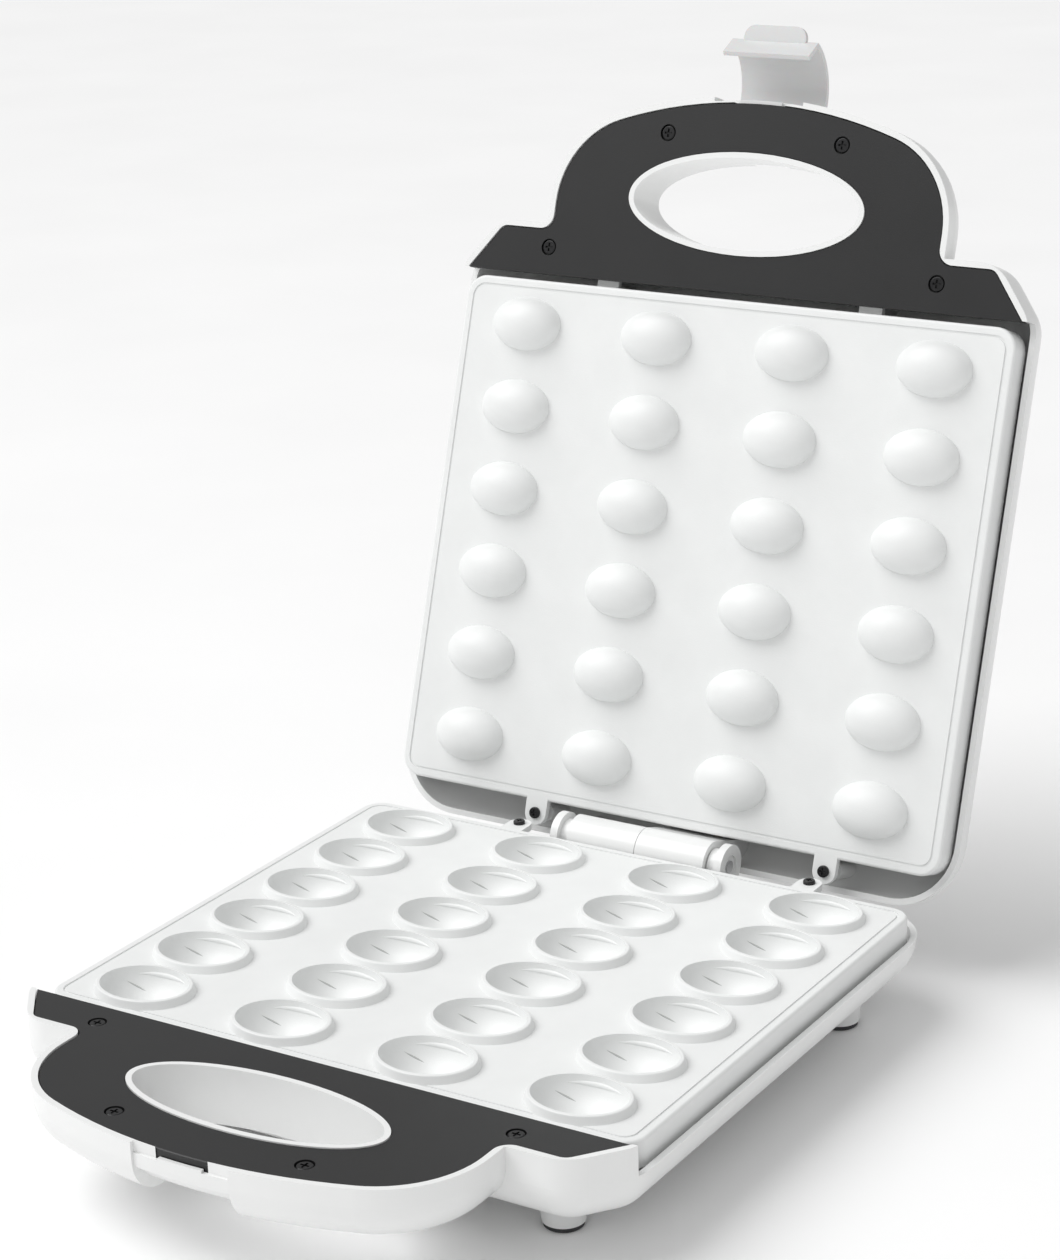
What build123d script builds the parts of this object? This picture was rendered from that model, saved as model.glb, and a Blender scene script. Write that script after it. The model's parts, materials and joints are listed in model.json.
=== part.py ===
from build123d import *
import math
import os

# Electric mould iron for walnut-shaped biscuits: two hinged halves with cast plates.
# Everything is drawn closed, in millimetres: z = 0 is the closing plane on the rims of
# the lower moulds, +Z up, the hinge at the back (+Y) and the handles in front (-Y).
# Pieces of one half are drawn hanging below the closing plane ("depth" counts down from
# it). The lid's pieces are mirrored up, and then opened about the hinge with the latch.

# ---- moulds and plates ----
COLUMNS = 4
ROWS = 6
COLUMN_PITCH = 62.0
ROW_PITCH = 34.7
CAVITY_X = 35.8             # clear size of a mould at its rim
CAVITY_Y = 27.9
CAVITY_DEPTH = 12.5
MOULD_WALL = 2.2
RING_LAND = 1.3             # flat top of the raised ring round a mould
RING_SLOPE = 1.7            # spread of the ring's outer flank
DOME_X = 32.0
DOME_Y = 22.5
DOME_HEIGHT = 9.5
DOME_WALL = 2.4
PLATE_SIDE_MARGIN = 32.0    # from the outer mould centres to the plate's edges
PLATE_FRONT_MARGIN = 18.75
PLATE_BACK_MARGIN = 21.75
PLATE_CORNER = 9.0
PLATE_THICK = 3.0
PLATE_EDGE_ROUND = 1.2
SKIRT_WALL = 2.6
BORDER_INSET = 3.2          # the fine line round a plate
BORDER_WIDTH = 1.0
BORDER_DEPTH = 0.5

# ---- depths below (or heights above) the closing plane ----
LOWER_SURFACE = 3.0         # flat of the lower plate; the mould rings rise to 0
UPPER_SURFACE = 0.8         # flat of the upper plate, clear of the rings
LOWER_RIM = 0.4             # top of the handle's rim
UPPER_RIM = 0.8
COVER_SETBACK = 0.4         # the cover lies this much below the rim
LEDGE_BELOW_SURFACE = 8.5   # from a plate's flat to the open edge of its housing
SKIRT_LAP = 2.0             # how far the skirt reaches behind that edge
BODY_DEPTH = 28.0
HANDLE_DEPTH = 22.5

# ---- housings ----
WALL = 2.4
SIDE_GAP = 1.7              # between plate skirt and housing wall
BACK_GAP = 11.6             # room for the hinge behind the plates
BACK_RADIUS = 27.0
WING_RADIUS = 16.5
BODY_ROUND = 16.0
HANDLE_ROUND = 15.0
WING_GAP = 3.0              # plate front edge to the wing tips
WING_RUN_X = 16.1           # the wings' slanted edge
WING_RUN_Y = 21.1
HANDLE_HALF = 90.2
HANDLE_REACH = 57.7         # from the shoulders to the front of the handle
HANDLE_ARC = 196.3
HANDLE_CORNER = 40.0
GRIP_X = 102.2              # clear size of the hole for the hand
GRIP_Y = 37.0
GRIP_WALL = 2.3
GRIP_BACK = 43.3            # from the handle's front to the hole's centre
COVER_REAR_GAP = 2.7        # plate front edge to the cover
COVER_PLATE = 2.4
COVER_SKIRT = 1.8
COVER_HEIGHT = 4.8
COVER_CORNER = 5.0
COVER_NOTCH_CORNER = 6.0
CLEARANCE = 0.3             # between pieces that don't move on each other

# ---- latch, its notch in both handles, and its pin ----
LATCH_WIDTH = 38.8
LATCH_GAP = 0.6
NOTCH_DEPTH = 4.1           # the rim is cut down this far below its top
NOTCH_STEP = 1.0            # the raised middle of the cut-down wall
NOTCH_STEP_HALF = 9.0
CHANNEL_SHALLOW = 1.0
CHANNEL_DEEP = 4.0
CHANNEL_TURN = 9.8          # depth where the channel gets deeper: the latch catches here
LATCH_THICK = 2.0
LATCH_BOW = 22.7            # radius of the bowed panel
LATCH_BOW_HALF_ANGLE = 37.0
LATCH_STANDOFF = 10.4       # bow's middle in front of the handle
LATCH_PIN_BACK = 5.0        # pin's axis behind the handle's front
LATCH_PIN_HEIGHT = 13.2
LATCH_PIN_RADIUS = 1.5
LATCH_EYE_RADIUS = 3.1
LATCH_LIP_BACK = 2.9        # tip of the hook behind the handle's front
LATCH_LIP_DEPTH = 11.4
LATCH_TAB_WIDTH = 28.0
LATCH_TAB_LENGTH = 7.0
LATCH_TAB_SLOPE = 57.0
LATCH_TRAVEL = 57.0
RUNNING_FIT = 0.05
POCKET_WALL = 3.2

# ---- hinge ----
HINGE_BEHIND = 10.5         # axis behind the plates' back edge
HINGE_DEPTH = 5.5           # axis below the closing plane
OPEN_ANGLE = 108.6
BARREL_RADIUS = 9.0
BARREL_LENGTH = 31.5
BARREL_GAP = 0.3
BARREL_END = 4.0
EAR_FRONT = 6.0              # the ears' webs start this far in front of the axis
STOP_THICK = 3.0
STOP_INSET = 5.0             # stop ribs, in from the knuckle's ends
DUCT_RADIUS = 4.4
DUCT_END = 17.6             # how deep the wiring duct reaches below the closing plane
DUCT_MOUTH = 6.0
DUCT_WIDTH = 14.0
SPIGOT_RADIUS = 6.0
SPIGOT_LENGTH = 5.0
EAR_GAP = 0.5
STUB_RADIUS = 6.4
STUB_LENGTH = 4.2
EAR_THICK = 3.3
HINGE_PIN_RADIUS = 2.5
HINGE_PIN_SINK = 1.0
HINGE_SWING = 0.8           # air round the lid's knuckles
STOP_RIB = 3.0

# ---- fasteners ----
COVER_SCREWS = [(39.4, -170.5), (88.3, -119.6)]
COVER_SCREW_HEAD = 3.0
SCREW_HEAD_HEIGHT = 1.4
SCREW_SHANK = 1.5
SMALL_SHANK = SCREW_SHANK * 0.75   # the screws that hold straps and reflectors
SMALL_BORE_DEPTH = 4.2
SMALL_HEAD_HEIGHT = 1.2
SMALL_REACH = 4.5            # small screws, below the head
SCREW_HOLE = 1.65
COVER_SCREW_LENGTH = 9.0
PLATE_SCREW_HEAD = 2.4
PLATE_SCREW_LENGTH = 8.0
POST_RADIUS = 3.6
LUG_XS = (-56.5, 77.0)
LUG_WIDTH = 10.0
LUG_SETBACK = 5.5           # lug screws behind the plate's back edge
LUG_THICK = 2.6
TAB_XS = (-60.0, 60.0)
TAB_REACH = 5.5

# ---- feet ----
FOOT_TOP = 9.6
FOOT_BOTTOM = 7.7
FOOT_HEIGHT = 15.0
FOOT_XS = {"front": 91.0, "rear": 104.0}
FOOT_YS = {"front": -96.0, "rear": 86.0}
PAD_RADIUS = 7.2
PAD_HEIGHT = 2.0
PAD_PEG = 2.6
PAD_PEG_LENGTH = 5.0

# ---- electrical pieces ----
HEATER_RADIUS = 3.0
HEATER_HALF = 62.0
HEATER_FRONT = -78.0
HEATER_BACK = 98.0
HEATER_BEND = 20.0
HEATER_PIN = 1.25
HEATER_PIN_LENGTH = 6.0
CLAMP_YS = (-52.05, 52.05)
CLAMP_HALF = 8.5
CLAMP_WIDTH = 8.0
CLAMP_THICK = 1.0
CLAMP_POST = 3.2
REFLECTOR_THICK = 0.6
REFLECTOR_X = 226.0
REFLECTOR_FRONT = -96.0
REFLECTOR_BACK = 78.0
REFLECTOR_LIP = 4.0
REFLECTOR_POSTS = ((0.0, -69.4), (0.0, 69.4))
THERMOSTAT_RADIUS = 7.5
THERMOSTAT_HEIGHT = 6.0
FUSE_RADIUS = 2.2
FUSE_LENGTH = 13.0
BLOCK_SIZE = (30.0, 13.0, 7.5)
BLOCK_X = -83.0
BLOCK_BEFORE_WALL = 22.0    # middle of the terminal block in front of the back wall
INLET_X = -75.0
INLET_DEPTH = 18.8          # low enough for the lead to pass under the open lid
INLET_BORE = 3.3
INLET_NECK = 4.4
INLET_FLANGE = 5.2
INLET_BOSS = 6.0
INLET_BOSS_LENGTH = 9.5
WIRE_RADIUS = 1.3
WIRE_BEND = 1.8
BUNDLE_RADIUS = 1.8
BUNDLE_BEND = 4.0
LAMP_XS = (-9.0, 9.0)
LAMP_RADIUS = 3.5
LAMP_FROM_FRONT = 12.0      # lamps behind the plate's front edge
LAMP_PROUD = 0.8

# ---- places that follow from the sizes above ----
PLATE_HALF = COLUMN_PITCH * (COLUMNS - 1) / 2 + PLATE_SIDE_MARGIN
PLATE_FRONT = -(ROW_PITCH * (ROWS - 1) / 2 + PLATE_FRONT_MARGIN)
PLATE_BACK = ROW_PITCH * (ROWS - 1) / 2 + PLATE_BACK_MARGIN
SHELL_HALF = PLATE_HALF + SIDE_GAP + WALL
SHELL_BACK = PLATE_BACK + BACK_GAP + WALL
WING_Y = PLATE_FRONT - WING_GAP
SHOULDER_X = SHELL_HALF - WING_RUN_X
SHOULDER_Y = WING_Y - WING_RUN_Y
HANDLE_FRONT = SHOULDER_Y - HANDLE_REACH
GRIP_CENTRE = HANDLE_FRONT + GRIP_BACK
COVER_REAR = PLATE_FRONT - COVER_REAR_GAP
LOWER_LEDGE = LOWER_SURFACE + LEDGE_BELOW_SURFACE
UPPER_LEDGE = UPPER_SURFACE + LEDGE_BELOW_SURFACE
FLOOR_DEPTH = BODY_DEPTH - WALL
HINGE_Y = PLATE_BACK + HINGE_BEHIND
LATCH_PIN_Y = HANDLE_FRONT + LATCH_PIN_BACK
NOTCH_HALF = LATCH_WIDTH / 2 + LATCH_GAP
STUB_START = BARREL_LENGTH + EAR_GAP
EAR_START = STUB_START + STUB_LENGTH
EAR_END = EAR_START + EAR_THICK
FLOOR_LEVEL = BODY_DEPTH + FOOT_HEIGHT + PAD_HEIGHT
MOULD_CENTRES = [
    ((column - (COLUMNS - 1) / 2) * COLUMN_PITCH, (row - (ROWS - 1) / 2) * ROW_PITCH)
    for row in range(ROWS)
    for column in range(COLUMNS)
]


# ---- small helpers ----
def slab(x_range, y_range, z_range):
    """Box between two values on each axis."""
    ranges = (x_range, y_range, z_range)
    centre = [(low + high) / 2 for low, high in ranges]
    size = [high - low for low, high in ranges]
    return Pos(*centre) * Box(*size)


def post(x, y, z_range, radius):
    """Upright cylinder."""
    low, high = z_range
    return Pos(x, y, (low + high) / 2) * Cylinder(radius, high - low)


def rod(x_range, y, z, radius):
    """Cylinder along X."""
    low, high = x_range
    return Pos((low + high) / 2, y, z) * Rot(0, 90, 0) * Cylinder(radius, high - low)


def prism(sketch, depth_range):
    """Upright prism between two depths below the closing plane."""
    shallow, deep = depth_range
    return Pos(0, 0, -deep) * extrude(sketch, deep - shallow)


def tube_path(points, bend, radius):
    """Round wire or rod along straight runs joined by arcs."""
    path = FilletPolyline(*points, radius=bend)
    return sweep(Plane(path @ 0, z_dir=path % 0) * Circle(radius), path=path)


def screw(head, length):
    """Cross-head screw: the underside of its head is at z = 0, its shank points down."""
    cap = Pos(0, 0, SCREW_HEAD_HEIGHT / 2) * Cylinder(head, SCREW_HEAD_HEIGHT)
    cap = fillet(cap.edges().group_by(Axis.Z)[-1], SCREW_HEAD_HEIGHT * 0.4)
    shank = post(0, 0, (-length, 0), SCREW_SHANK)
    recess = Box(head * 1.15, head * 0.28, SCREW_HEAD_HEIGHT)
    cross = recess + Rot(0, 0, 90) * recess
    return cap + shank - Pos(0, 0, SCREW_HEAD_HEIGHT) * cross


def group(solids):
    """Separate solids kept together as one node."""
    return Compound(children=[solid for solid in solids])


# ---- plan outlines ----
def body_outline(inset=0.0):
    """Rectangular body with slanted front corners (the wings beside the handle)."""
    right = [(SHELL_HALF, SHELL_BACK), (SHELL_HALF, WING_Y), (SHOULDER_X, SHOULDER_Y)]
    left = [(-x, y) for x, y in reversed(right)]
    face = make_face(Polyline(*right, *left, close=True))
    if inset > 0:
        face = offset(face, amount=-inset, kind=Kind.INTERSECTION)
    face = fillet(face.vertices().filter_by(lambda v: v.Y > 0), BACK_RADIUS - inset)
    face = fillet(face.vertices().filter_by(lambda v: v.Y < WING_Y + inset + 5), WING_RADIUS - inset)
    return face


def handle_outline(inset=0.0):
    """Handle: straight sides, round corners and one wide front arc, all tangent."""
    arc_centre = HANDLE_FRONT + HANDLE_ARC
    corner_x = HANDLE_HALF - HANDLE_CORNER
    reach = HANDLE_ARC - HANDLE_CORNER
    corner_y = arc_centre - math.sqrt(reach**2 - corner_x**2)
    lean = math.atan2(corner_y - arc_centre, corner_x)
    radius = HANDLE_CORNER - inset
    corner_end = (corner_x + radius * math.cos(lean), corner_y + radius * math.sin(lean))
    corner_mid = (corner_x + radius * math.cos(lean / 2), corner_y + radius * math.sin(lean / 2))
    half = HANDLE_HALF - inset
    root = WING_Y
    outline = [
        Line((-half, root), (half, root)),
        Line((half, root), (half, corner_y)),
        ThreePointArc((half, corner_y), corner_mid, corner_end),
        ThreePointArc(corner_end, (0, HANDLE_FRONT + inset), (-corner_end[0], corner_end[1])),
        ThreePointArc((-corner_end[0], corner_end[1]), (-corner_mid[0], corner_mid[1]), (-half, corner_y)),
        Line((-half, corner_y), (-half, root)),
    ]
    return make_face(outline)


def cover_outline(inset):
    """Plan of the handle's cover: the handle and both wings in front of the plate."""
    wings = body_outline_sharp(inset) & Pos(0, COVER_REAR - 100) * Rectangle(400, 200)
    face = wings + handle_outline(inset)
    inner = face.vertices().filter_by(lambda v: abs(abs(v.X) - HANDLE_HALF + inset) < 0.5)
    inner = inner.filter_by(lambda v: abs(v.Y - SHOULDER_Y - inset) < 0.5)
    face = fillet(inner, COVER_NOTCH_CORNER)
    outer = face.vertices().filter_by(lambda v: abs(v.X) > SHOULDER_X - 5)
    outer = outer.filter_by(lambda v: v.Y < SHOULDER_Y + inset + 1)
    return fillet(outer, COVER_CORNER)


def body_outline_sharp(inset):
    """Body outline with sharp corners, for the cover's own smaller corner radii."""
    right = [(SHELL_HALF, SHELL_BACK), (SHELL_HALF, WING_Y), (SHOULDER_X, SHOULDER_Y)]
    left = [(-x, y) for x, y in reversed(right)]
    face = make_face(Polyline(*right, *left, close=True))
    return offset(face, amount=-inset, kind=Kind.INTERSECTION)


def plate_outline(inset=0.0):
    """Rounded rectangle of a plate."""
    width = 2 * (PLATE_HALF - inset)
    length = PLATE_BACK - PLATE_FRONT - 2 * inset
    corner = max(PLATE_CORNER - inset, 0.5)
    return Pos(0, (PLATE_BACK + PLATE_FRONT) / 2) * RectangleRounded(width, length, corner)


def grip_ellipse(grow):
    """The grip hole's outline, grown by a wall or a clearance."""
    return Pos(0, GRIP_CENTRE) * Ellipse(GRIP_X / 2 + grow, GRIP_Y / 2 + grow)


# ---- housing forms ----
def body_form(inset):
    """Rounded tub of the body, its underside set in by the same amount."""
    deep = BODY_DEPTH - inset
    form = prism(body_outline(inset), (0, deep))
    return fillet(form.faces().sort_by(Axis.Z)[0].edges(), BODY_ROUND - inset)


def handle_form(inset):
    """Rounded trough of the handle."""
    deep = HANDLE_DEPTH - inset
    form = prism(handle_outline(inset), (0, deep))
    rounded = form.faces().sort_by(Axis.Z)[0].edges().filter_by(lambda e: e.center().Y < WING_Y - 1)
    return fillet(rounded, HANDLE_ROUND - inset)


def outer_form(inset=0.0):
    """Body and handle together."""
    return body_form(inset) + handle_form(inset)


def latch_channel(rim):
    """What the latch's notch and channel take out of a handle's front wall."""
    reach = (HANDLE_FRONT - 20, HANDLE_FRONT + 25)
    across = (-NOTCH_HALF, NOTCH_HALF)
    middle = (-NOTCH_STEP_HALF, NOTCH_STEP_HALF)
    cut_down = rim + NOTCH_DEPTH
    notch = slab(across, (reach[0], HANDLE_FRONT + WALL + CLEARANCE), (-cut_down, 1))
    notch -= slab(middle, reach, (-cut_down, -cut_down + NOTCH_STEP))
    shallow = slab(across, reach, (-CHANNEL_TURN, 1)) - handle_form(CHANNEL_SHALLOW)
    deep = slab(across, reach, (-BODY_DEPTH, -CHANNEL_TURN)) - handle_form(CHANNEL_DEEP)
    return notch + shallow + deep


def channel_backing():
    """Thicker wall behind the latch's channel."""
    half = NOTCH_HALF + WALL
    zone = slab((-half, half), (HANDLE_FRONT - 5, HANDLE_FRONT + 30), (-BODY_DEPTH, -COVER_HEIGHT - 2))
    return (handle_form(WALL / 2) - handle_form(CHANNEL_DEEP + WALL)) & zone


def cover_posts(cover_top):
    """Posts under the cover's screws."""
    top = cover_top + COVER_HEIGHT
    places = [(side * x, y) for x, y in COVER_SCREWS for side in (-1, 1)]
    posts = [post(x, y, (-BODY_DEPTH, -top), POST_RADIUS) for x, y in places]
    holes = [post(x, y, (-top - COVER_SCREW_LENGTH, -top), SCREW_HOLE) for x, y in places]
    return posts, holes


def plate_posts(surface):
    """Posts under the plate's lugs at the back and its tabs in front."""
    top = surface + LUG_THICK
    places = plate_screw_places()
    posts = [post(x, y, (-BODY_DEPTH, -top - lower), POST_RADIUS) for x, y, lower in places]
    length = PLATE_SCREW_LENGTH
    holes = [post(x, y, (-top - lower - length, -top - lower), SCREW_HOLE) for x, y, lower in places]
    return posts, holes


def plate_screw_places():
    """Screw positions of a plate, with how far each seat lies below the plate's flat."""
    rear = [(x, PLATE_BACK + LUG_SETBACK, 0.0) for x in LUG_XS]
    front = [(x, PLATE_FRONT - TAB_REACH, COVER_HEIGHT) for x in TAB_XS]
    return rear + front


def shell(rim, surface, ledge):
    """Housing of one half, without feet, hinge and latch."""
    outer = outer_form()
    cover_top = rim + COVER_SETBACK
    posts, holes = cover_posts(cover_top)
    more_posts, more_holes = plate_posts(surface)
    collar = prism(grip_ellipse(GRIP_WALL), (0, BODY_DEPTH))
    housing = outer - outer_form(WALL)
    housing += [piece & outer for piece in posts + more_posts + [collar]]
    housing += channel_backing()
    housing -= prism(cover_outline(WALL), (-1, cover_top + COVER_HEIGHT)) - collar
    housing -= prism(grip_ellipse(0), (-1, BODY_DEPTH + 1))
    housing -= slab((-200, 200), (-250, 200), (-rim, 5))
    housing -= slab((-200, 200), (WING_Y, 200), (-ledge, 5))
    housing -= holes + more_holes
    housing -= latch_channel(rim)
    return housing


# ---- hinge ----
def barrel(side):
    """Solid of one knuckle, on the left (-1) or right (+1) of the middle."""
    near, far = side * BARREL_GAP / 2, side * BARREL_LENGTH
    span = (min(near, far), max(near, far))
    back = SHELL_BACK - WALL / 2
    front = HINGE_Y - BARREL_RADIUS
    knuckle = rod(span, HINGE_Y, -HINGE_DEPTH, BARREL_RADIUS)
    return knuckle, span, (front, back)


def ear(side):
    """Ear disc and its boss, outside the other half's knuckle."""
    boss = sorted((side * STUB_START, side * EAR_START))
    disc = sorted((side * EAR_START, side * EAR_END))
    shape = rod(boss, HINGE_Y, -HINGE_DEPTH, STUB_RADIUS)
    return shape + rod(disc, HINGE_Y, -HINGE_DEPTH, BARREL_RADIUS), disc


def pin_holes(side, through_ear):
    """Bores for one hinge pin, in the ear (press fit) or in the knuckle (running fit)."""
    if through_ear:
        span = sorted((side * (STUB_START - 1), side * (EAR_END + 1)))
        rim = sorted((side * (EAR_END - HINGE_PIN_SINK), side * (EAR_END + 1)))
        hole = rod(span, HINGE_Y, -HINGE_DEPTH, HINGE_PIN_RADIUS)
        return hole + rod(rim, HINGE_Y, -HINGE_DEPTH, HINGE_PIN_RADIUS * 1.9)
    span = sorted((side * (BARREL_LENGTH - BARREL_END - 1), side * (BARREL_LENGTH + 1)))
    return rod(span, HINGE_Y, -HINGE_DEPTH, HINGE_PIN_RADIUS + RUNNING_FIT)


def hinge_pin(side):
    """Steel pin from the ear into the knuckle."""
    span = sorted((side * (BARREL_LENGTH - BARREL_END + 0.5), side * (EAR_END - 0.2)))
    return rod(span, HINGE_Y, -HINGE_DEPTH, HINGE_PIN_RADIUS)


def base_hinge(housing):
    """Left knuckle with a hollow spigot, right ear and the stops, on the base."""
    knuckle, span, depth = barrel(-1)
    floor = -FLOOR_DEPTH - WALL / 2
    seat = slab((-EAR_END - 1, EAR_END + 1), (PLATE_BACK + 1, SHELL_BACK + 1),
                (-HINGE_DEPTH - BARREL_RADIUS - HINGE_SWING, 0))
    housing -= seat
    disc, disc_span = ear(1)
    housing += [knuckle, slab(span, depth, (floor, -HINGE_DEPTH))]
    housing += [disc, slab(disc_span, (HINGE_Y - EAR_FRONT, depth[1]), (floor, -HINGE_DEPTH))]
    housing += rod((-BARREL_GAP, SPIGOT_LENGTH), HINGE_Y, -HINGE_DEPTH, SPIGOT_RADIUS)
    duct_start = -BARREL_LENGTH + BARREL_END
    housing -= rod((duct_start, SPIGOT_LENGTH + 1), HINGE_Y, -HINGE_DEPTH, DUCT_RADIUS)
    duct = (duct_start, duct_start + DUCT_WIDTH)
    housing -= slab(duct, (depth[0] + WALL, depth[1] - WALL), (-DUCT_END, -HINGE_DEPTH))
    housing -= slab(duct, (depth[0] - 1, depth[1] - WALL), (-DUCT_END, -DUCT_END + DUCT_MOUTH))
    housing -= [pin_holes(-1, False), pin_holes(1, True)]
    return housing + stop_ribs()


def lid_back_line(y):
    """Height of the open lid's knuckle block behind the hinge, where its back face lies."""
    lean = math.radians(OPEN_ANGLE)
    across = SHELL_BACK - WALL / 2 - HINGE_Y
    start_y = HINGE_Y + across * math.cos(lean)
    start_z = -HINGE_DEPTH - across * math.sin(lean)
    return start_z + (y - start_y) * math.cos(lean) / math.sin(lean)


def stop_ribs():
    """Two ribs behind the base that the open lid leans on."""
    inner = HINGE_Y + BARREL_RADIUS + HINGE_SWING
    outer = inner + STOP_THICK
    low = -HINGE_DEPTH - BARREL_RADIUS - HINGE_SWING
    points = [
        (SHELL_BACK - WALL, -FLOOR_DEPTH + 2),
        (SHELL_BACK - WALL, low - 0.5),
        (inner, low - 0.5),
        (inner, lid_back_line(inner) - CLEARANCE),
        (outer, lid_back_line(outer) - CLEARANCE),
        (outer, low - 3),
        (outer - 5, -FLOOR_DEPTH + 2),
    ]
    profile = make_face(Plane.YZ * Polyline(*points, close=True))
    rib = extrude(profile, STOP_RIB)
    return [Pos(x, 0, 0) * rib for x in (STOP_INSET, BARREL_LENGTH - STOP_RIB - STOP_INSET)]


def lid_hinge(housing):
    """Right knuckle and left ear, on the closed lid (drawn the right way up)."""
    knuckle, span, depth = barrel(1)
    roof = FLOOR_DEPTH + WALL / 2
    disc, disc_span = ear(-1)
    housing += [knuckle, slab(span, depth, (-HINGE_DEPTH, roof))]
    housing += [disc, slab(disc_span, (HINGE_Y - EAR_FRONT, depth[1]), (-HINGE_DEPTH, roof))]
    bore_end = BARREL_LENGTH - BARREL_END
    housing -= rod((-1, bore_end), HINGE_Y, -HINGE_DEPTH, SPIGOT_RADIUS + RUNNING_FIT)
    duct = (bore_end - DUCT_WIDTH, bore_end)
    housing -= slab(duct, (depth[0] + WALL, depth[1] - WALL), (-HINGE_DEPTH, DUCT_END))
    housing -= slab(duct, (depth[0] - 1, depth[1] - WALL), (DUCT_END - DUCT_MOUTH, DUCT_END))
    return housing - [pin_holes(1, False), pin_holes(-1, True)]


# ---- housings ----
def foot_places():
    """Name and centre of each foot."""
    return [
        (f"{end}_{side}", sign * FOOT_XS[end], FOOT_YS[end])
        for end in ("front", "rear")
        for side, sign in (("left", -1), ("right", 1))
    ]


def lower_housing():
    """Base casing with its tapered feet, hinge half and cord inlet."""
    housing = base_hinge(shell(LOWER_RIM, LOWER_SURFACE, LOWER_LEDGE))
    foot = Pos(0, 0, -BODY_DEPTH - FOOT_HEIGHT / 2) * Cone(FOOT_BOTTOM, FOOT_TOP, FOOT_HEIGHT)
    foot += post(0, 0, (-BODY_DEPTH, -FLOOR_DEPTH), FOOT_TOP)
    housing += [Pos(x, y, 0) * foot for _, x, y in foot_places()]
    end = -BODY_DEPTH - FOOT_HEIGHT
    housing -= [post(x, y, (end, end + PAD_PEG_LENGTH), PAD_PEG) for _, x, y in foot_places()]
    boss_middle = Pos(INLET_X, SHELL_BACK - INLET_BOSS_LENGTH / 2, -INLET_DEPTH) * Rot(90, 0, 0)
    housing += boss_middle * Cylinder(INLET_BOSS, INLET_BOSS_LENGTH)
    return housing - boss_middle * Cylinder(INLET_NECK, 20)


def upper_housing():
    """Lid casing with its hinge half, latch pocket and lamp holes."""
    housing = mirror(shell(UPPER_RIM, UPPER_SURFACE, UPPER_LEDGE), about=Plane.XY)
    housing = lid_hinge(housing)
    outer = mirror(handle_form(0), about=Plane.XY)
    half = NOTCH_HALF + POCKET_WALL
    back = LATCH_PIN_Y + LATCH_EYE_RADIUS + 0.7
    floor = LATCH_PIN_HEIGHT - LATCH_EYE_RADIUS - 0.6
    block = slab((-half, half), (HANDLE_FRONT + 1.5, back + WALL), (COVER_HEIGHT + 2, HANDLE_DEPTH))
    housing += block & outer
    housing -= slab((-NOTCH_HALF, NOTCH_HALF), (HANDLE_FRONT - 5, back), (floor, HANDLE_DEPTH + 1))
    pin_span = (-half + 1, half - 1)
    housing -= rod(pin_span, LATCH_PIN_Y, LATCH_PIN_HEIGHT, LATCH_PIN_RADIUS)
    holes = [post(x, lamp_y(), (FLOOR_DEPTH - 1, BODY_DEPTH + 1), LAMP_RADIUS) for x in LAMP_XS]
    return housing - holes


def lamp_y():
    """Row of the two lamps."""
    return PLATE_FRONT + LAMP_FROM_FRONT


# ---- handle covers ----
def handle_cover(rim):
    """Dark insert with a turned-down edge, screw wells and the grip's cut-out."""
    top = rim + COVER_SETBACK
    bottom = top + COVER_HEIGHT
    inset = WALL + CLEARANCE
    cover = prism(cover_outline(inset), (top, bottom))
    cover = chamfer(cover.faces().sort_by(Axis.Z)[-1].edges(), 0.3)
    inside = prism(cover_outline(inset + COVER_SKIRT), (top + COVER_PLATE, bottom))
    places = [(side * x, y) for x, y in COVER_SCREWS for side in (-1, 1)]
    bosses = [post(x, y, (-bottom, -top - 0.5), POST_RADIUS + 1.4) for x, y in places]
    cuff = prism(grip_ellipse(GRIP_WALL + CLEARANCE + COVER_SKIRT), (top + 0.5, bottom))
    cover = cover - inside + bosses + (cuff & prism(cover_outline(inset), (top, bottom)))
    cover -= prism(grip_ellipse(GRIP_WALL + CLEARANCE), (top - 1, bottom + 1))
    well = top + SCREW_HEAD_HEIGHT + 0.2
    cover -= [post(x, y, (-well, 0), COVER_SCREW_HEAD + 0.5) for x, y in places]
    return cover - [post(x, y, (-bottom - 1, 0), SCREW_HOLE) for x, y in places]


def cover_screws(rim):
    """The four screws of a handle cover."""
    seat = rim + COVER_SETBACK + SCREW_HEAD_HEIGHT + 0.2
    places = [(side * x, y) for x, y in COVER_SCREWS for side in (-1, 1)]
    length = COVER_SCREW_LENGTH + 2
    return [Pos(x, y, -seat) * screw(COVER_SCREW_HEAD, length) for x, y in places]


# ---- plates ----
def half_egg(size_x, size_y, depth, start=0.0):
    """Lower half of an ellipsoid, from a given depth down."""
    egg = scale(Sphere(1), by=(size_x / 2, size_y / 2, depth))
    return egg & slab((-size_x, size_x), (-size_y, size_y), (-2 * depth, -start))


def plate_blank(surface, ledge):
    """Flat cast plate with a skirt, a fine border line, rear lugs and front tabs."""
    skirt_end = ledge + SKIRT_LAP
    plate = prism(plate_outline(), (surface, skirt_end))
    plate = fillet(plate.faces().sort_by(Axis.Z)[-1].edges(), PLATE_EDGE_ROUND)
    plate -= prism(plate_outline(SKIRT_WALL), (surface + PLATE_THICK, skirt_end))
    line = plate_outline(BORDER_INSET) - plate_outline(BORDER_INSET + BORDER_WIDTH)
    plate -= prism(line, (surface, surface + BORDER_DEPTH))
    return plate + plate_lugs(surface)


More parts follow.
